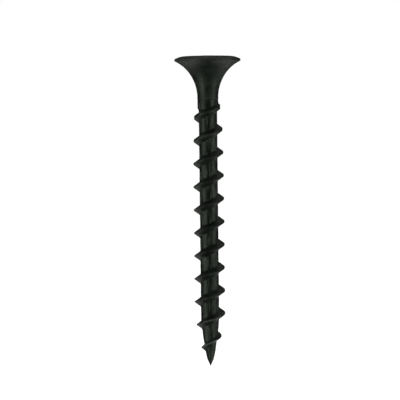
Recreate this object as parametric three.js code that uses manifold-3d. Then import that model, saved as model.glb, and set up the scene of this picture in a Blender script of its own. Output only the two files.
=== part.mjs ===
// A wood screw of one piece of steel: a bugle head with a cross recess, a short plain neck,
// a coarse single-start thread and a sharp point.
// Millimetres. The screw's axis is Z. The origin is the centre of the head's flat top, and the
// point is down at -Z.

import * as THREE from 'three';
import { mergeVertices } from 'three/addons/utils/BufferGeometryUtils.js';
import Module from 'manifold-3d';

const TURN = 2 * Math.PI;
const AXIS = new THREE.Vector3(0, 0, 1);

// Overall
const LENGTH = 38; // head's top to the tip of the point
const SIDES = 36; // facets round the axis, the same for the shank and the thread

// Head
const HEAD_DIAMETER = 8.1;
const HEAD_HEIGHT = 5.1; // down to where the flare meets the neck
const TOP_FLAT_RADIUS = 2.9; // the top is flat out to here, and falls gently to the rim
const RIM_RADIUS = 0.2; // rounding of the rim
const RIM_DEPTH = 0.45; // the rim rounding's centre below the top
const RIM_SLOPE = THREE.MathUtils.degToRad(64.8); // the flare's angle to the axis where it meets the rim

// Neck, core and point
const NECK_DIAMETER = 2.55;
const NECK_BOTTOM = -6.3;
const CORE_DIAMETER = 2.24;
const CORE_TOP = -6.6;
const POINT_TOP = -32.2; // the core starts to taper here
const POINT_BEND = { radius: 0.9, height: -35 }; // the taper bends past this point
const CONE_TOP = { radius: 0.33, height: -37.25 }; // the steeper cone at the very tip starts here

// Thread: right-handed, one start
const PITCH = 25.4 / 9;
const THREAD_DIAMETER = 3.76;
const FLANK = Math.tan(THREE.MathUtils.degToRad(33.6)); // each flank's slope from square to the axis
const CREST_HALF_WIDTH = 0.03;
const CREST_AT_PLUS_X = -8.89; // height of one crest on the screw's +X side
const THREAD_TOP = -5.6;
const THREAD_BOTTOM = -37.4;
const GROWTH_AT_TOP = PITCH / 4; // the ridge rises out of the core over this height at its upper end
const GROWTH_AT_BOTTOM = PITCH / 2;
const FIRST_CREST_LOSS = 0.28; // how far short of full height the crest is where the thread starts
const CREST_GROWTH = 3.6; // the loss shrinks by a factor e in this height
const TAPER_TOP = -31.9; // the crest starts to come in towards the point here
const TAPER_SLOPE = 0.205; // loss of crest radius for each millimetre below that
const FOOT_SHARE = 0.5; // the ridge's foot is sunk to this share of the core's radius
const END_BURIAL = 0.15; // how far under the core's surface the crest ends, at both ends of the thread

// Cross recess
const WING_REACH = 2.53; // axis to the end of a wing, at the head's top
const WING_HALF_WIDTH = 0.515;
const INNER_CHAMFER = 0.26; // the cut across each inner corner between two wings
const WING_DEPTH = 2.6;
const RECESS_DEPTH = 3.1; // at the axis
const REACH_TAPER = Math.tan(THREE.MathUtils.degToRad(26.5)); // loss of reach with depth
const WIDTH_TAPER = 0.045; // loss of half width with depth
const RECESS_OVERRUN = 0.3; // how far the cutting shape stands above the head

// Straight steps that stand for each curve of the outline
const POINT_STEPS = 8;
const FLARE_STEPS = 14;
const RIM_STEPS = 6;
const TOP_STEPS = 4;

const MERGE_DISTANCE = 1e-5; // corners closer than this are one corner

// The outline of the screw without its thread, from the tip up to the centre of the head's top.
// Each point is (radius, height).

function pointTaper(share) {
  const curve = new THREE.QuadraticBezierCurve(
    new THREE.Vector2(CONE_TOP.radius, CONE_TOP.height),
    new THREE.Vector2(POINT_BEND.radius, POINT_BEND.height),
    new THREE.Vector2(CORE_DIAMETER / 2, POINT_TOP),
  );
  return curve.getPoint(share);
}

// The flare is a stretch of an ellipse. It leaves the neck along the axis and meets the rim's
// rounding along a common tangent, which fixes how far round the ellipse it runs.
const rimCentre = new THREE.Vector2(HEAD_DIAMETER / 2 - RIM_RADIUS, -RIM_DEPTH);

function rimRounding(share) {
  const angle = -RIM_SLOPE + share * (RIM_SLOPE + Math.PI / 2);
  return new THREE.Vector2(Math.cos(angle), Math.sin(angle)).multiplyScalar(RIM_RADIUS).add(rimCentre);
}

function flare(share) {
  const end = rimRounding(0);
  const reach = end.x - NECK_DIAMETER / 2;
  const rise = end.y + HEAD_HEIGHT;
  const swept = Math.acos(1 / ((Math.tan(RIM_SLOPE) * rise) / reach - 1));
  const angle = share * swept;
  return new THREE.Vector2(
    NECK_DIAMETER / 2 + (reach * (1 - Math.cos(angle))) / (1 - Math.cos(swept)),
    -HEAD_HEIGHT + (rise * Math.sin(angle)) / Math.sin(swept),
  );
}

function topFall(share) {
  const radius = rimCentre.x + share * (TOP_FLAT_RADIUS - rimCentre.x);
  return new THREE.Vector2(radius, (RIM_RADIUS - RIM_DEPTH) * (1 - share) ** 2);
}

function sample(curve, steps) {
  return Array.from({ length: steps + 1 }, (_, step) => curve(step / steps));
}

function bodyOutline() {
  return [
    new THREE.Vector2(0, -LENGTH),
    ...sample(pointTaper, POINT_STEPS),
    new THREE.Vector2(CORE_DIAMETER / 2, CORE_TOP),
    new THREE.Vector2(NECK_DIAMETER / 2, NECK_BOTTOM),
    ...sample(flare, FLARE_STEPS),
    ...sample(rimRounding, RIM_STEPS).slice(1),
    ...sample(topFall, TOP_STEPS).slice(1),
    new THREE.Vector2(0, 0),
  ];
}

function bodyGeometry() {
  const geometry = new THREE.LatheGeometry(bodyOutline(), SIDES);
  return geometry.rotateX(Math.PI / 2);
}

// The thread is a ridge of four-sided section, swept along a helix from the point up to the neck.

function coreRadius(height) {
  if (height >= CORE_TOP) {
    const share = (height - CORE_TOP) / (NECK_BOTTOM - CORE_TOP);
    return THREE.MathUtils.lerp(CORE_DIAMETER, NECK_DIAMETER, Math.min(share, 1)) / 2;
  }
  if (height >= POINT_TOP) return CORE_DIAMETER / 2;
  const outline = sample(pointTaper, POINT_STEPS);
  const upper = outline.findIndex((point) => point.y > height);
  const share = (height - outline[upper - 1].y) / (outline[upper].y - outline[upper - 1].y);
  return THREE.MathUtils.lerp(outline[upper - 1].x, outline[upper].x, share);
}

function ridgeSection(height) {
  const core = coreRadius(Math.max(height, CONE_TOP.height));
  const startLoss = FIRST_CREST_LOSS * Math.exp((height - THREAD_TOP) / CREST_GROWTH);
  const taperLoss = TAPER_SLOPE * Math.max(0, TAPER_TOP - height);
  const grownAtTop = (THREAD_TOP - height) / GROWTH_AT_TOP;
  const grownAtBottom = (height - THREAD_BOTTOM) / GROWTH_AT_BOTTOM;
  const grown = Math.min(1, grownAtTop, grownAtBottom);
  const fullRadius = THREAD_DIAMETER / 2 - startLoss - taperLoss;
  const crest = core + (fullRadius - core) * grown - (1 - grown) * END_BURIAL;
  const crestHalfWidth = CREST_HALF_WIDTH + startLoss * FLANK;
  const foot = core * FOOT_SHARE;
  const footHalfWidth = crestHalfWidth + (crest - foot) * FLANK;
  return [
    [foot, footHalfWidth],
    [crest, crestHalfWidth],
    [crest, -crestHalfWidth],
    [foot, -footHalfWidth],
  ];
}

// The ridge's corners stand half a facet away from the core's edges, so that the two cross cleanly.
function ridgeGeometry() {
  const step = PITCH / SIDES;
  const first = Math.ceil((THREAD_BOTTOM - CREST_AT_PLUS_X) / step);
  const last = Math.floor((THREAD_TOP - CREST_AT_PLUS_X) / step) - 1;
  const rings = [];
  for (let index = first; index <= last; index += 1) {
    const angle = ((index + 0.5) / SIDES) * TURN;
    const height = CREST_AT_PLUS_X + (index + 0.5) * step;
    rings.push(ridgeSection(height).map(([radius, rise]) => (
      new THREE.Vector3(radius * Math.cos(angle), radius * Math.sin(angle), height + rise)
    )));
  }
  return closedLoft(middle(rings[0]), rings, middle(rings.at(-1)));
}

function middle(ring) {
  const sum = ring.reduce((total, point) => total.add(point), new THREE.Vector3());
  return sum.divideScalar(ring.length);
}

// A closed solid through rings of the same number of points, each end closed by a fan to its tip.
function closedLoft(firstTip, rings, lastTip) {
  const size = rings[0].length;
  const points = [firstTip, ...rings.flat(), lastTip];
  const triangles = [];
  for (let side = 0; side < size; side += 1) {
    const next = (side + 1) % size;
    triangles.push(0, 1 + next, 1 + side);
    for (let ring = 0; ring + 1 < rings.length; ring += 1) {
      const here = 1 + ring * size;
      const there = here + size;
      triangles.push(here + side, here + next, there + side);
      triangles.push(here + next, there + next, there + side);
    }
    const end = 1 + (rings.length - 1) * size;
    triangles.push(end + side, end + next, points.length - 1);
  }
  const geometry = new THREE.BufferGeometry();
  const positions = points.flatMap((point) => point.toArray());
  geometry.setAttribute('position', new THREE.Float32BufferAttribute(positions, 3));
  geometry.setIndex(triangles);
  return geometry;
}

// The recess: four tapered wings with chamfered inner corners, and a shallow cone at the bottom.

function recessRing(depth) {
  const reach = WING_REACH - depth * REACH_TAPER;
  const half = WING_HALF_WIDTH - depth * WIDTH_TAPER;
  const inner = half + INNER_CHAMFER;
  const corners = [[inner, -half], [reach, -half], [reach, half], [inner, half]];
  const wings = [0, 1, 2, 3].map((quarter) => corners.map(([along, across]) => (
    new THREE.Vector3(along, across, -depth).applyAxisAngle(AXIS, (quarter * TURN) / 4)
  )));
  return wings.flat();
}

function recessGeometry() {
  const bottom = new THREE.Vector3(0, 0, -RECESS_DEPTH);
  const top = new THREE.Vector3(0, 0, RECESS_OVERRUN);
  return closedLoft(bottom, [recessRing(WING_DEPTH), recessRing(-RECESS_OVERRUN)], top);
}

const wasm = await Module();
wasm.setup();

function toSolid(geometry) {
  const bare = geometry.clone();
  bare.deleteAttribute('normal');
  bare.deleteAttribute('uv');
  const merged = mergeVertices(bare, MERGE_DISTANCE);
  return new wasm.Manifold(new wasm.Mesh({
    numProp: 3,
    vertProperties: new Float32Array(merged.attributes.position.array),
    triVerts: new Uint32Array(merged.index.array),
  }));
}

function toGeometry(solid) {
  const mesh = solid.getMesh();
  const geometry = new THREE.BufferGeometry();
  geometry.setAttribute('position', new THREE.Float32BufferAttribute(mesh.vertProperties, 3));
  geometry.setIndex(new THREE.Uint32BufferAttribute(mesh.triVerts, 1));
  geometry.computeVertexNormals();
  return geometry;
}

const blackPhosphate = new THREE.MeshStandardMaterial({ color: 0x2b2f2a, roughness: 0.5, metalness: 0.7 });

function makeScrew() {
  const threaded = toSolid(bodyGeometry()).add(toSolid(ridgeGeometry()));
  const recessed = threaded.subtract(toSolid(recessGeometry()));
  const mesh = new THREE.Mesh(toGeometry(recessed), blackPhosphate);
  mesh.name = 'screw';
  return mesh;
}

const part = new THREE.Group();
part.add(makeScrew());

export default part;
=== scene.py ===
"""A black bugle-head wood screw: its fine surface, finish, stage, lights and camera.

The fine surface is one closed mesh. Its points stand in columns round the screw's axis, and the
rows of the shank follow the thread's helix, so crests, flanks and roots are clean lines.
Lengths in the drawing functions are millimetres; the finished mesh is in metres. Heights are along Z
from the head's top, so they are negative below it, and a depth counts down from there.
"""

import math

import bpy
from mathutils import Euler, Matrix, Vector, noise


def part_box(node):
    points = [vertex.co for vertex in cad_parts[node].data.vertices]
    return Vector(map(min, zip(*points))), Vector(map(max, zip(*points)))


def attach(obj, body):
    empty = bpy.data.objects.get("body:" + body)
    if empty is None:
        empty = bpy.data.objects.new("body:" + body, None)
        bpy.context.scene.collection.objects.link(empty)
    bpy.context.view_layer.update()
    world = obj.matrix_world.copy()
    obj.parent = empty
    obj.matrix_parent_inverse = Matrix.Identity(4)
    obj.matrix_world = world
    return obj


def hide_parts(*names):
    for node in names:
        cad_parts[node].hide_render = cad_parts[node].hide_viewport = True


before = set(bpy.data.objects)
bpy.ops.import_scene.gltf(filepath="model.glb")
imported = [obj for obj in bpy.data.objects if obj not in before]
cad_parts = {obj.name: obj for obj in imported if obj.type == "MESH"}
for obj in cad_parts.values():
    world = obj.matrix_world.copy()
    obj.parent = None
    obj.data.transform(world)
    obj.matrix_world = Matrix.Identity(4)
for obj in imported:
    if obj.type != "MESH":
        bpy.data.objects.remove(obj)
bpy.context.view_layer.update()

MM = 0.001
TURN = 2 * math.pi
NODE = "screw"
node_low, node_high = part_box(NODE)

# Overall
LENGTH = (node_high.z - node_low.z) / MM
HEAD_RADIUS = node_high.x / MM
COLUMNS = 96  # columns of points round the axis, a multiple of 32 for the cross recess

# Head
HEAD_HEIGHT = 5.1  # down to where the flare meets the neck
TOP_FLAT_RADIUS = 2.9
RIM_RADIUS = 0.2
RIM_DEPTH = 0.45
RIM_SLOPE = math.radians(64.8)  # where the rim's rounding meets the flare

# Neck, core and point
NECK_RADIUS = 1.275
NECK_BOTTOM = -6.3
CORE_RADIUS = 1.12
CORE_TOP = -6.6
POINT_TOP = -32.2
POINT_BEND = (0.9, -35.0)  # (radius, height)
CONE_TOP = (0.33, -37.25)

# Thread
PITCH = 25.4 / 9
THREAD_RADIUS = 1.88
FLANK = math.tan(math.radians(33.6))
CREST_HALF_WIDTH = 0.035
CREST_AT_PLUS_X = -8.89
THREAD_TOP = -5.6
THREAD_BOTTOM = -37.4
FIRST_CREST_LOSS = 0.28  # how much lower the first crest is than a full one
CREST_GROWTH = 3.6  # the loss fades away over this height
TAPER_TOP = -31.9
TAPER_SLOPE = 0.205  # fall of the crest's radius for each millimetre below TAPER_TOP
GROWTH_AT_TOP = PITCH / 4  # the ridge grows in over this height
GROWTH_AT_BOTTOM = PITCH / 2
END_BURIAL = 0.15  # the ridge's ends lie this far under the core's surface
ROOT_FILLET = 0.12
LEAST_RIDGE = 0.06  # rows are laid out for a ridge of at least this height

# Cross recess
WING_REACH = 2.53
WING_HALF_WIDTH = 0.515
INNER_CHAMFER = 0.26
INNER_CUT = 0.10  # how far from its corner each rounding starts
OUTER_CUT = 0.14
WING_DEPTH = 2.6
RECESS_DEPTH = 3.1
REACH_TAPER = math.tan(math.radians(26.5))
WIDTH_TAPER = 0.045  # fall of a wing's half width for each millimetre of depth
FLOOR_ROUNDING = 0.05
LIP_REACH = 0.16  # the lip starts this far outside the recess's edge

# Rows of points. Helical rows fill the shank between two heights; level rings fill the rest.
HELIX_TOP = -5.3
HELIX_BOTTOM = -37.5
TIP_RINGS = (0.015, 0.05, 0.12, 0.20, 0.28, 0.36, 0.44)  # heights above the tip
FLANK_ROWS = (0.15, 0.4, 0.65, 0.85, 1.0)  # shares of the way down a flank
FILLET_ROWS = (0.07, 0.16)  # distances from the flank's foot
ROOT_ROWS = (0.33, 0.67)  # shares of the way from the fillet to the middle of the root
NECK_STEPS = 4
FLARE_STEPS = 44
RIM_STEPS = 10
TOP_STEPS = 8
LIP_APPROACH = (0.2, 0.4, 0.6, 0.8, 1.0)  # shares of the way from the round flat to the lip
WALL_DEPTHS = (0.2, 0.5, 0.9, 1.3, 1.7, 2.1, 2.4)
FLOOR_ROWS = (0.3, 0.6, 0.85)  # shares of the way from the wall's foot to the recess's lowest point
WING_SIDE_STEPS = COLUMNS // 16 - 2

# Small unevenness of a forged and rolled part. A fade is (height where it starts, height where it is full).
UPPER_RING = -3.3
LOWER_RING = -5.6
DIE_RINGS = (  # (rise, height, width) of each ring that the heading die leaves
    (0.030, -HEAD_HEIGHT, 0.05),
    (-0.020, -HEAD_HEIGHT - 0.14, 0.07),
    (0.012, LOWER_RING, 0.05),
    (-0.012, UPPER_RING, 0.05),
)
RING_GRAIN = (0.006, 0.22)  # (rise, size)
RING_GRAIN_FADE = (-1.5, -3.0)
DRAWING_MARKS = (  # (rise, share of the height, size): a small share of the height makes long marks
    (0.016, 0.3, 0.26),
    (0.010, 0.5, 0.6),
)
DRAWING_MARKS_FADE = (-4.6, -5.6)
CREST_WAVES = (  # (rise, size, place in the noise)
    (0.022, 1.1, (3.7, 0.0)),
    (0.012, 0.35, (9.1, 2.0)),
)
NICK_DEPTH = 0.07
NICK_SIZE = 0.8
NICK_PLACE = (21.5, 4.0)
NICK_THRESHOLD = 0.38  # the noise must pass this to cut a nick, so nicks are few
SHARP_HALF_WIDTH = 0.06  # a crest that is wider than this has a groove along it
CREST_GROOVE = 0.16  # the groove's depth, as a share of the half width past SHARP_HALF_WIDTH
RIM_WAVE = 0.022
RIM_WAVE_SIZE = 0.5
RIM_WAVE_PLACE = 2.5  # place in the noise
RIM_WAVE_START = 2.8  # the radius where the rim's waves start
PINCH_DEPTH = 0.08  # share of the radius
PINCH_TURN = 0.6
PINCH_FADE = (-35.4, -36.6)
TIP_BLUNTING = (0.02, 0.05)  # (added radius, how far up it goes)
TIP_STREAKS = 0.5
STREAKS_END = (-0.05, 0.15)  # the drawn streaks fade out as the ridge passes these heights over the core

# Wear: 0 is the whole finish, 1 is rubbed grey, and more is rubbed down to steel. On the lip and the crests
# near the point, the grey and steel are also a painted highlight.
TIP_WEAR = 0.6
POINT_WEAR = 0.5
CREST_WEAR = 0.45
LOW_CREST_WEAR_AND_GLINT = 1.0  # added where the crests start the hole: rubbed wear, and bare steel that is also a painted highlight
LOW_CREST_FADE = (-26.0, -33.0)
# how much further the low crests' wear and painted highlight reach from the crest's middle
CREST_WEAR_REACH = 0.07
LOW_CREST_WEAR_AND_GLINT_REACH = 0.08
FLARE_WEAR = 0.15
TOP_WEAR = 0.2
RING_WEAR = ((0.8, -HEAD_HEIGHT, 0.06), (0.3, UPPER_RING, 0.05))  # (wear, height, width)
LIP_RINGS = (  # (distance outside the recess's edge, height, wear): the lip's light line of wear is also a painted highlight
    (0.10, 0.018, 1.0),
    (0.05, 0.015, 1.5),
    (0.015, -0.015, 1.5),
    (0.0, -0.07, 0.8),
)


def mix(a, b, share):
    return a + (b - a) * share


def smooth_step(low, high, value):
    share = min(max((value - low) / (high - low), 0.0), 1.0)
    return share * share * (3 - 2 * share)


def bump(value, centre, width):
    """A smooth hill of height 1."""
    return math.exp(-(((value - centre) / width) ** 2))


def smooth_max(a, b, blend):
    overlap = max(blend - abs(a - b), 0.0) / blend
    return max(a, b) + overlap * overlap * blend / 4


# ---------------------------------------------------------------- outline of the plain body

def point_taper(height):
    """Radius of the taper below POINT_TOP: a curve with one bend, solved for its height."""
    top, bend, bottom = (CORE_RADIUS, POINT_TOP), POINT_BEND, CONE_TOP
    a = top[1] - 2 * bend[1] + bottom[1]
    b = 2 * (bend[1] - top[1])
    c = top[1] - height
    share = (-b - math.sqrt(b * b - 4 * a * c)) / (2 * a)
    return (1 - share) ** 2 * top[0] + 2 * share * (1 - share) * bend[0] + share ** 2 * bottom[0]


def shank_radius(height):
    """Radius of the neck, core and point at a height, without the thread."""
    if height >= CORE_TOP:
        return mix(CORE_RADIUS, NECK_RADIUS, smooth_step(CORE_TOP, NECK_BOTTOM, height))
    if height >= POINT_TOP:
        return CORE_RADIUS
    if height >= CONE_TOP[1]:
        return point_taper(height)
    return CONE_TOP[0] * (height + LENGTH) / (CONE_TOP[1] + LENGTH)


def rim_rounding(share):
    angle = mix(-RIM_SLOPE, math.pi / 2, share)
    radius = HEAD_RADIUS - RIM_RADIUS + RIM_RADIUS * math.cos(angle)
    return radius, -RIM_DEPTH + RIM_RADIUS * math.sin(angle)


def flare(share):
    """The bugle's underside: a stretch of an ellipse from the neck to a common tangent at the rim."""
    end_radius, end_height = rim_rounding(0)
    reach = end_radius - NECK_RADIUS
    rise = end_height + HEAD_HEIGHT
    swept = math.acos(1 / (math.tan(RIM_SLOPE) * rise / reach - 1))
    angle = share * swept
    radius = NECK_RADIUS + reach * (1 - math.cos(angle)) / (1 - math.cos(swept))
    return radius, -HEAD_HEIGHT + rise * math.sin(angle) / math.sin(swept)


def top_fall(share):
    radius = mix(HEAD_RADIUS - RIM_RADIUS, TOP_FLAT_RADIUS, share)
    return radius, (RIM_RADIUS - RIM_DEPTH) * (1 - share) ** 2


# ---------------------------------------------------------------- thread

def crest_shape(height):
    """Crest radius and half width where the crest is at this height."""
    core = shank_radius(height)
    start_loss = FIRST_CREST_LOSS * math.exp((height - THREAD_TOP) / CREST_GROWTH)
    taper_loss = TAPER_SLOPE * max(0.0, TAPER_TOP - height)
    grown_at_top = (THREAD_TOP - height) / GROWTH_AT_TOP
    grown_at_bottom = (height - THREAD_BOTTOM) / GROWTH_AT_BOTTOM
    grown = max(min(1.0, grown_at_top, grown_at_bottom), 0.0)
    full = THREAD_RADIUS - start_loss - taper_loss
    crest = core + (full - core) * grown - (1 - grown) * END_BURIAL
    return crest, CREST_HALF_WIDTH + start_loss * FLANK


def ridge_offsets(crest, half_width, core):
    """Heights of the rows across one pitch, from the crest's middle: crest, flanks, fillets, root."""
    foot = half_width + max(crest - core, LEAST_RIDGE) * FLANK
    upper = [0.0, half_width]
    upper += [mix(half_width, foot, share) for share in FLANK_ROWS]
    upper += [foot + distance for distance in FILLET_ROWS]
    upper += [mix(upper[-1], PITCH / 2, share) for share in ROOT_ROWS]
    return [-offset for offset in reversed(upper[1:])] + upper + [PITCH / 2]


def ridge_radius(offset, crest, half_width):
    return crest - max(abs(offset) - half_width, 0.0) / FLANK


ROWS_PER_TURN = len(ridge_offsets(THREAD_RADIUS, CREST_HALF_WIDTH, CORE_RADIUS))


# ---------------------------------------------------------------- small unevenness

def grain(x, y, z, size):
    return noise.noise(Vector((x, y, z)) / size)


def pinch_facets(angle, height):
    """Share of the radius that the four flats of the pinched point take or add."""
    return PINCH_DEPTH * math.cos(4 * angle + PINCH_TURN) * smooth_step(*PINCH_FADE, height)


def shank_unevenness(angle, height):
    """Drawing marks along the shank, and the rings that the heading die leaves on the neck."""
    x, y = math.cos(angle), math.sin(angle)
    marks = sum(rise * grain(x, y, height * share, size) for rise, share, size in DRAWING_MARKS)
    rings = sum(rise * bump(height, centre, width) for rise, centre, width in DIE_RINGS)
    rise, size = RING_GRAIN
    rings += rise * grain(0.0, 0.0, height, size) * smooth_step(*RING_GRAIN_FADE, height)
    return marks * smooth_step(*DRAWING_MARKS_FADE, height) + rings


def crest_unevenness(crest_height):
    """Ragged crest: small waves along the helix and a few nicks."""
    along = crest_height * TURN / PITCH
    waves = sum(rise * grain(along, *place, size) for rise, size, place in CREST_WAVES)
    nicks = NICK_DEPTH * max(0.0, grain(along, *NICK_PLACE, NICK_SIZE) - NICK_THRESHOLD)
    return waves - nicks


def crest_groove(offset, half_width):
    """Depth of the groove along a blunt crest, where the rolled metal didn't fill the die."""
    return CREST_GROOVE * max(half_width - SHARP_HALF_WIDTH, 0.0) * bump(offset, 0.0, half_width)


def crest_wear_and_glint(offset, half_width, height):
    """Wear at a distance from the crest's middle: the crests near the point are rubbed most, and their bare
    steel is also a painted highlight.
    """
    low = smooth_step(*LOW_CREST_FADE, height)
    reach = half_width + CREST_WEAR_REACH + LOW_CREST_WEAR_AND_GLINT_REACH * low
    return (CREST_WEAR + LOW_CREST_WEAR_AND_GLINT * low) * bump(offset, 0.0, reach)


# ---------------------------------------------------------------- rows of points

def polar(radius, angle, height):
    return radius * math.cos(angle), radius * math.sin(angle), height


def tip_rows(angle):
    """Level rings of the point's cone, from just above the tip up to the helical rows."""
    rows = {}
    added, reach = TIP_BLUNTING
    for index, rise in enumerate(TIP_RINGS):
        height = rise - LENGTH
        radius = shank_radius(height) * (1 + pinch_facets(angle, height)) + added * bump(rise, 0.0, reach)
        rows["tip", index] = (polar(radius, angle, height), POINT_WEAR, 1.0)
    return rows


def helix_rows(angle):
    """The shank's rows: each one rises by a pitch in a turn."""
    rows = {}
    rise = PITCH * angle / TURN
    first_turn = math.floor((HELIX_BOTTOM - CREST_AT_PLUS_X - rise) / PITCH) - 1
    last_turn = math.ceil((HELIX_TOP - CREST_AT_PLUS_X - rise) / PITCH) + 1
    for turn in range(first_turn, last_turn + 1):
        crest_height = CREST_AT_PLUS_X + rise + PITCH * turn
        level = min(max(crest_height, THREAD_BOTTOM), THREAD_TOP)
        crest, half_width = crest_shape(level)
        crest += crest_unevenness(crest_height)
        for row, offset in enumerate(ridge_offsets(crest, half_width, shank_radius(level))):
            height = crest_height + offset
            if not HELIX_BOTTOM < height < HELIX_TOP:
                continue
            core = shank_radius(height) * (1 + pinch_facets(angle, height))
            core += shank_unevenness(angle, height)
            groove = crest_groove(offset, half_width)
            ridge = ridge_radius(offset, crest - groove, half_width)
            radius = smooth_max(core, ridge, ROOT_FILLET)
            # wear on the crest, which near the point is also a painted highlight
            wear = crest_wear_and_glint(offset, half_width, height) if ridge > core else 0.0
            drawn = 1 - smooth_step(*STREAKS_END, ridge - core)
            rows["helix", turn * ROWS_PER_TURN + row] = (polar(radius, angle, height), wear, drawn)
    return rows


def level_rows(angle):
    """Level rings from the neck over the flare and the rim to the top's flat."""
    outline = []
    for step in range(1, NECK_STEPS):
        outline.append((NECK_RADIUS, mix(HELIX_TOP, -HEAD_HEIGHT, step / NECK_STEPS), 0.0))
    for step in range(FLARE_STEPS + 1):
        share = step / FLARE_STEPS
        outline.append((*flare(share), FLARE_WEAR * share ** 6))
    for step in range(1, RIM_STEPS + 1):
        share = step / RIM_STEPS
        outline.append((*rim_rounding(share), math.sin(math.pi * share)))
    for step in range(1, TOP_STEPS + 1):
        share = step / TOP_STEPS
        outline.append((*top_fall(share), TOP_WEAR * (1 - share)))
    rows = {}
    x, y = math.cos(angle), math.sin(angle)
    wave = RIM_WAVE * grain(x, y, RIM_WAVE_PLACE, RIM_WAVE_SIZE)
    for index, (radius, height, wear) in enumerate(outline):
        swell = shank_unevenness(angle, height)
        rim = wave * smooth_step(RIM_WAVE_START, HEAD_RADIUS, radius)
        wear += sum(most * bump(height, centre, width) for most, centre, width in RING_WEAR)
        rows["level", index] = (polar(radius + swell + rim, angle, height), wear, 0.0)
    return rows


def cross_outline(depth, spread):
    """The recess's outline at a depth, pushed outward by spread: COLUMNS points in order of angle.

    Each wing runs from the middle of one inner chamfer to the middle of the next.
    """
    reach = WING_REACH - depth * REACH_TAPER + spread
    half = WING_HALF_WIDTH - depth * WIDTH_TAPER + spread
    inner = half + INNER_CHAMFER - spread * (2 - math.sqrt(2))
    middle = (half + inner) / 2
    corners = [
        ((middle, -middle), 0, WING_SIDE_STEPS // 2),
        ((inner, -half), INNER_CUT, WING_SIDE_STEPS),
        ((reach, -half), OUTER_CUT, WING_SIDE_STEPS),
        ((reach, half), OUTER_CUT, WING_SIDE_STEPS),
        ((inner, half), INNER_CUT, WING_SIDE_STEPS // 2),
        ((middle, middle), 0, 0),
    ]
    wing = rounded_path(corners)
    points = []
    for quarter in range(4):
        turned = Euler((0, 0, quarter * TURN / 4)).to_matrix()
        points += [(turned @ Vector((x, y, 0)))[:2] for x, y in wing]
    half_wing = COLUMNS // 8
    return points[half_wing:] + points[:half_wing]


def rounded_path(corners):
    """Points along a path of straight runs, with each corner that has a cut rounded by two points.

    A corner is (place, cut, steps): cut is how far from the corner the rounding starts, and steps
    is how many points the straight run after it gets.
    """
    points = []
    for index, (place, cut, steps) in enumerate(corners[:-1]):
        here = Vector(place)
        there = Vector(corners[index + 1][0])
        along = (there - here).normalized()
        if cut:
            back = (Vector(corners[index - 1][0]) - here).normalized()
            start, end = here + back * cut, here + along * cut
            points.append(start)
            points.append((start + end) / 4 + here / 2)
        start = here + along * cut
        end = there - along * corners[index + 1][1]
        points += [start.lerp(end, step / steps) for step in range(steps)]
    return points


def recess_rows():
    """Rings from the head's flat inward, over the lip of the recess and down to its bottom.

    Each ring is (outline, height, wear). The first ones pass from the round flat to the cross, and
    the lip is thrown up a little by the punch, rubbed light, and given a painted highlight.
    """
    lip = cross_outline(0, LIP_REACH)
    rings = []
    for share in LIP_APPROACH:
        ring = []
        for index, (x, y) in enumerate(lip):
            angle = TURN * index / COLUMNS
            round_x, round_y = TOP_FLAT_RADIUS * math.cos(angle), TOP_FLAT_RADIUS * math.sin(angle)
            ring.append((mix(round_x, x, share), mix(round_y, y, share)))
        rings.append((ring, 0.0, 0.0))
    for spread, height, wear in LIP_RINGS:
        rings.append((cross_outline(0, spread), height, wear))
    for depth in (*WALL_DEPTHS, WING_DEPTH - FLOOR_ROUNDING):
        rings.append((cross_outline(depth, 0), -depth, 0.0))
    rings.append((cross_outline(WING_DEPTH, -FLOOR_ROUNDING), -WING_DEPTH, 0.0))
    floor = rings[-1][0]
    for share in FLOOR_ROWS:
        ring = [(x * (1 - share), y * (1 - share)) for x, y in floor]
        rings.append((ring, mix(-WING_DEPTH, -RECESS_DEPTH, share), 0.0))
    return rings


def columns_of_points():
    """For each column, its rows from the tip to the recess's bottom: {row name: (place, wear, drawn)}.

    Wear is how far the finish is rubbed off, and on the lip and the crests near the point it also paints a
    highlight; drawn is how strong the streaks of the drawn wire are.
    """
    recess = recess_rows()
    columns = []
    for index in range(COLUMNS):
        angle = TURN * index / COLUMNS
        column = {**tip_rows(angle), **helix_rows(angle), **level_rows(angle)}
        for ring, (outline, height, wear) in enumerate(recess):
            column["recess", ring] = ((*outline[index], height), wear, 0.0)
        columns.append(column)
    return columns


def zip_columns(left, right, faces):
    """Faces between two columns of (row name, point index), from the tip up.

    Rows that both columns have make a quad; a row that only one has makes a triangle.
    """
    in_left = {name for name, _ in left}
    in_right = {name for name, _ in right}
    a, b = 0, 0
    while a + 1 < len(left) or b + 1 < len(right):
        next_left = left[a + 1][0] if a + 1 < len(left) else None
        next_right = right[b + 1][0] if b + 1 < len(right) else None
        if next_left is not None and next_left not in in_right:
            faces.append((left[a][1], right[b][1], left[a + 1][1]))
            a += 1
        elif next_right is not None and next_right not in in_left:
            faces.append((left[a][1], right[b][1], right[b + 1][1]))
            b += 1
        else:
            faces.append((left[a][1], right[b][1], right[b + 1][1], left[a + 1][1]))
            a += 1
            b += 1


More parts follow.
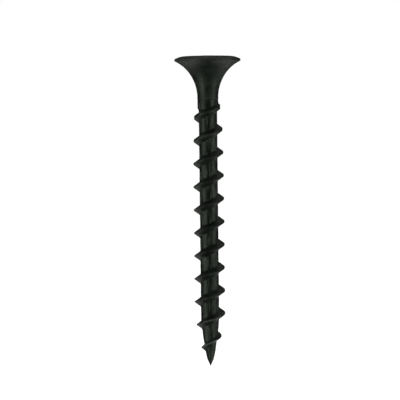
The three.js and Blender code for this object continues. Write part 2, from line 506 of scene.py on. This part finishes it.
def screw_mesh():
    points, wear, drawn = [], [], []
    columns = []
    for column in columns_of_points():
        named = []
        for name, (place, worn, streaked) in column.items():
            named.append((name, len(points)))
            points.append(place)
            wear.append(worn)
            drawn.append(streaked)
        columns.append(named)
    tip, bottom = len(points), len(points) + 1
    points += [(0, 0, -LENGTH), (0, 0, -RECESS_DEPTH)]
    wear += [TIP_WEAR, 0.0]
    drawn += [TIP_STREAKS, 0.0]
    faces = []
    for index, left in enumerate(columns):
        right = columns[(index + 1) % COLUMNS]
        if index == COLUMNS - 1:  # a helical row is one turn further on when it comes round again
            right = [(turned_name(name), point) for name, point in right]
        faces.append((tip, right[0][1], left[0][1]))
        zip_columns(left, right, faces)
        faces.append((bottom, left[-1][1], right[-1][1]))
    mesh = bpy.data.meshes.new("screw_fine")
    mesh.from_pydata([Vector(place) * MM for place in points], [], faces)
    for name, values in (("wear", wear), ("drawn", drawn)):
        attribute = mesh.attributes.new(name, "FLOAT", "POINT")
        attribute.data.foreach_set("value", values)
    mesh.validate()
    mesh.shade_smooth()
    return mesh


def turned_name(name):
    kind, row = name
    return (kind, row - ROWS_PER_TURN) if kind == "helix" else name


# ---------------------------------------------------------------- materials

class Nodes:
    """Short calls for building a material's node tree."""

    def __init__(self, name):
        self.material = bpy.data.materials.new(name)
        self.material.use_nodes = True
        self.tree = self.material.node_tree
        self.shader = self.tree.nodes["Principled BSDF"]

    def add(self, kind, **settings):
        node = self.tree.nodes.new(kind)
        for key, value in settings.items():
            setattr(node, key, value)
        return node

    def link(self, source, target):
        self.tree.links.new(source, target)

    def noise(self, vector, scale, detail=3.0, roughness=0.5):
        node = self.add("ShaderNodeTexNoise")
        node.inputs["Scale"].default_value = scale
        node.inputs["Detail"].default_value = detail
        node.inputs["Roughness"].default_value = roughness
        self.link(vector, node.inputs["Vector"])
        return node.outputs["Fac"]

    def stretch(self, vector, scale):
        node = self.add("ShaderNodeMapping")
        node.inputs["Scale"].default_value = scale
        self.link(vector, node.inputs["Vector"])
        return node.outputs["Vector"]

    def ramp(self, value, stops):
        node = self.add("ShaderNodeValToRGB")
        ramp = node.color_ramp
        while len(ramp.elements) < len(stops):
            ramp.elements.new(0.5)
        for element, (position, colour) in zip(ramp.elements, stops):
            element.position = position
            element.color = (*colour, 1.0)
        self.link(value, node.inputs["Fac"])
        return node.outputs["Color"]

    def math(self, operation, first, second):
        """One step of arithmetic, its result kept between 0 and 1."""
        node = self.add("ShaderNodeMath", operation=operation, use_clamp=True)
        for socket, value in zip(node.inputs, (first, second)):
            if isinstance(value, (int, float)):
                socket.default_value = value
            else:
                self.link(value, socket)
        return node.outputs["Value"]

    def mix(self, first, second, share):
        """Two values mixed, with this share of the second."""
        first_part = self.math("MULTIPLY", first, 1 - share)
        second_part = self.math("MULTIPLY", second, share)
        return self.math("ADD", first_part, second_part)

    def blend(self, share, first, second):
        """Two colours mixed, with a share of the second that varies over the surface."""
        node = self.add("ShaderNodeMix", data_type="RGBA")
        self.link(share, node.inputs["Factor"])
        for socket, value in zip((node.inputs["A"], node.inputs["B"]), (first, second)):
            if isinstance(value, tuple):
                socket.default_value = (*value, 1.0)
            else:
                self.link(value, socket)
        return node.outputs["Result"]


# Scales are in noise cells per metre, and a small share along an axis stretches the noise along it.
PATCH_SCALE = 900.0
CRYSTAL_SCALE = 9000.0
STREAK_SCALE = 4600.0
RING_SCALE = 2600.0
ALONG_THE_WIRE = (1.0, 1.0, 0.16)
ROUND_THE_SHANK = (0.1, 0.1, 1.0)
DRAWN_TONES = (
    (0.38, (0.002, 0.003, 0.002)),
    (0.50, (0.010, 0.014, 0.010)),
    (0.57, (0.036, 0.044, 0.034)),
    (0.66, (0.085, 0.098, 0.080)),
)
FORGED_TONES = (
    (0.38, (0.004, 0.006, 0.004)),
    (0.62, (0.024, 0.031, 0.023)),
)
WEAR_PATCHES = (
    (0.35, (0, 0, 0)),
    (0.65, (1, 1, 1)),
)
RUBBED_GREY = (0.085, 0.094, 0.080)
RUBBED_COVER = 0.8  # the most that the rubbed grey covers
# bare steel where the finish is rubbed through, also a painted highlight on the lip and the crests near the
# point
BARE_STEEL_AND_GLINT = (0.46, 0.48, 0.45)
REFLECTION_TINT = (0.84, 1.0, 0.82, 1.0)
LEAST_ROUGHNESS = 0.24
ROUGHNESS_SPREAD = 0.5
RELIEF_STRENGTH = 0.6
RELIEF_DEPTH = 0.03 * MM
CRYSTALS_IN_RELIEF = 0.35  # the streaks make the rest of the relief
RINGS_IN_FORGED = 0.5  # the patches make the rest of the forged tone


def phosphate_colour(nodes, patches, streaks, rings):
    """Drawn streaks or forged tone, then rubbed grey and bare steel where the finish is worn; on the lip
    and the crests near the point they are also a painted highlight.
    """
    worn = nodes.add("ShaderNodeAttribute", attribute_name="wear").outputs["Fac"]
    drawn = nodes.add("ShaderNodeAttribute", attribute_name="drawn").outputs["Fac"]
    streaked = nodes.ramp(streaks, DRAWN_TONES)
    forged = nodes.ramp(nodes.mix(patches, rings, RINGS_IN_FORGED), FORGED_TONES)
    colour = nodes.blend(drawn, forged, streaked)
    patchy = nodes.ramp(patches, WEAR_PATCHES)
    rubbed = nodes.math("MULTIPLY", nodes.math("MULTIPLY", worn, patchy), RUBBED_COVER)
    colour = nodes.blend(rubbed, colour, RUBBED_GREY)
    # bare steel and painted highlight where the wear passes 1
    bare_steel_and_glint = nodes.math("MULTIPLY", nodes.math("SUBTRACT", worn, 1.0), patchy)
    return nodes.blend(bare_steel_and_glint, colour, BARE_STEEL_AND_GLINT)


def black_phosphate():
    """Oiled black phosphate on steel: greenish charcoal with a fine crystal grain."""
    nodes = Nodes("black_phosphate")
    place = nodes.add("ShaderNodeTexCoord").outputs["Object"]
    patches = nodes.noise(place, PATCH_SCALE, detail=4.0)
    crystals = nodes.noise(place, CRYSTAL_SCALE, detail=2.0, roughness=0.7)
    streaks = nodes.noise(nodes.stretch(place, ALONG_THE_WIRE), STREAK_SCALE, roughness=0.6)
    rings = nodes.noise(nodes.stretch(place, ROUND_THE_SHANK), RING_SCALE, roughness=0.6)
    nodes.link(phosphate_colour(nodes, patches, streaks, rings), nodes.shader.inputs["Base Color"])
    rough = nodes.math("ADD", nodes.math("MULTIPLY", streaks, ROUGHNESS_SPREAD), LEAST_ROUGHNESS)
    nodes.link(rough, nodes.shader.inputs["Roughness"])
    nodes.shader.inputs["Metallic"].default_value = 0.0
    nodes.shader.inputs["Specular IOR Level"].default_value = 0.5
    nodes.shader.inputs["Specular Tint"].default_value = REFLECTION_TINT
    relief = nodes.add("ShaderNodeBump")
    relief.inputs["Strength"].default_value = RELIEF_STRENGTH
    relief.inputs["Distance"].default_value = RELIEF_DEPTH
    height = nodes.mix(streaks, crystals, CRYSTALS_IN_RELIEF)
    nodes.link(height, relief.inputs["Height"])
    nodes.link(relief.outputs["Normal"], nodes.shader.inputs["Normal"])
    return nodes.material


STAGE_WHITE = (0.93, 0.93, 0.93, 1.0)
STAGE_ROUGHNESS = 0.9


def pale_stage():
    nodes = Nodes("pale_stage")
    nodes.shader.inputs["Base Color"].default_value = STAGE_WHITE
    nodes.shader.inputs["Roughness"].default_value = STAGE_ROUGHNESS
    nodes.shader.inputs["Specular IOR Level"].default_value = 0.0
    return nodes.material


# ---------------------------------------------------------------- the piece

def add_screw():
    piece = bpy.data.objects.new("screw_fine", screw_mesh())
    bpy.context.scene.collection.objects.link(piece)
    piece.data.materials.append(black_phosphate())
    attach(piece, "root")
    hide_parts(NODE)
    return piece


# ---------------------------------------------------------------- stage, lights and camera

FLOOR_RADIUS = 1.2
FLOOR_GAP = 12 * MM  # the floor lies this far under the tip
FLOOR_LIGHT_STRENGTH = 3.4
FLOOR_LIGHT_SPREAD = math.radians(60)


def add_floor():
    """A wide pale floor that throws no light back on the screw."""
    bpy.ops.mesh.primitive_circle_add(vertices=64, radius=FLOOR_RADIUS, fill_type="NGON",
                                      location=(0, 0, node_low.z - FLOOR_GAP))
    floor = bpy.context.active_object
    floor.name = "floor"
    floor.data.materials.append(pale_stage())
    floor.visible_diffuse = False
    floor.visible_glossy = False
    floor.visible_shadow = False
    return floor


def add_floor_light(floor):
    """An even light that falls on the floor alone, so that the floor is as white as the room."""
    data = bpy.data.lights.new("floor_light", "SUN")
    data.energy = FLOOR_LIGHT_STRENGTH
    data.angle = FLOOR_LIGHT_SPREAD
    light = bpy.data.objects.new("floor_light", data)
    bpy.context.scene.collection.objects.link(light)
    lit = bpy.data.collections.new("lit_by_floor_light")
    lit.objects.link(floor)
    light.light_linking.receiver_collection = lit


AMBIENT = 0.02  # light from all round, against 1 for the white that the camera sees


def add_world():
    """White where the camera looks past the floor, and a dim room for the light that the screw gets."""
    world = bpy.data.worlds.new("studio")
    bpy.context.scene.world = world
    world.use_nodes = True
    tree = world.node_tree
    background = tree.nodes["Background"]
    background.inputs["Color"].default_value = (1, 1, 1, 1)
    seen = tree.nodes.new("ShaderNodeLightPath").outputs["Is Camera Ray"]
    strength = tree.nodes.new("ShaderNodeMapRange")
    strength.inputs["To Min"].default_value = AMBIENT
    strength.inputs["To Max"].default_value = 1.0
    tree.links.new(seen, strength.inputs["Value"])
    tree.links.new(strength.outputs["Result"], background.inputs["Strength"])


PANEL_DISTANCE = 0.30
PANELS = (  # (name, azimuth, elevation, width, height, radiance): the angles are in degrees
    ("left_panel", -60, -15, 32, 64, 1.95),
    ("right_panel", 60, 0, 32, 84, 1.35),
    ("low_right_panel", 105, -30, 50, 30, 0.45),
    ("low_back_panel", 180, -50, 72, 42, 0.62),
    ("high_back_panel", 180, 60, 70, 30, 0.45),
    ("top_panel", 0, 86, 30, 30, 1.0),
)


def add_panel(name, azimuth, elevation, width, height, radiance):
    """A soft panel of light that faces the screw's middle.

    Azimuth 0 is the camera's side and 90 the screw's +X side. The width and height are the angles
    that the panel fills, seen from the screw.
    """
    middle = (node_low + node_high) / 2
    a, e = math.radians(azimuth), math.radians(elevation)
    away = Vector((math.sin(a) * math.cos(e), -math.cos(a) * math.cos(e), math.sin(e)))
    data = bpy.data.lights.new(name, "AREA")
    data.shape = "RECTANGLE"
    data.size = 2 * PANEL_DISTANCE * math.tan(math.radians(width / 2))
    data.size_y = 2 * PANEL_DISTANCE * math.tan(math.radians(height / 2))
    data.energy = math.pi * data.size * data.size_y * radiance
    light = bpy.data.objects.new(name, data)
    bpy.context.scene.collection.objects.link(light)
    light.location = middle + away * PANEL_DISTANCE
    light.rotation_euler = away.to_track_quat("Z", "Y").to_euler()
    light.visible_camera = False


def add_lights():
    """Two tall panels beside the camera, and dimmer ones behind and above the screw."""
    for panel in PANELS:
        add_panel(*panel)


LENS = 150.0
SENSOR = 36.0
FIELD = 49.0 * MM  # width of the view at the screw's axis
CAMERA_ELEVATION = math.radians(3.0)
CAMERA_ROLL = math.radians(-0.63)
OFFSET_LEFT = 1.105 * MM  # the camera stands this far beside the screw's middle
OFFSET_UP = 1.45 * MM


def add_camera():
    data = bpy.data.cameras.new("camera")
    data.lens = LENS
    data.sensor_width = SENSOR
    data.clip_start = 0.01
    data.clip_end = 10.0
    camera = bpy.data.objects.new("camera", data)
    bpy.context.scene.collection.objects.link(camera)
    away = Vector((0, -math.cos(CAMERA_ELEVATION), math.sin(CAMERA_ELEVATION)))
    facing = away.to_track_quat("Z", "Y")
    rolled = facing @ Euler((0, 0, CAMERA_ROLL)).to_quaternion()
    middle = (node_low + node_high) / 2
    distance = FIELD * LENS / SENSOR
    offset = rolled @ Vector((-OFFSET_LEFT, OFFSET_UP, 0))
    camera.location = middle + away * distance + offset
    camera.rotation_euler = rolled.to_euler()
    bpy.context.scene.camera = camera


def set_picture_tones():
    settings = bpy.context.scene.view_settings
    settings.view_transform = "Standard"
    settings.look = "None"


add_camera()
add_screw()
add_floor_light(add_floor())
add_world()
add_lights()
set_picture_tones()
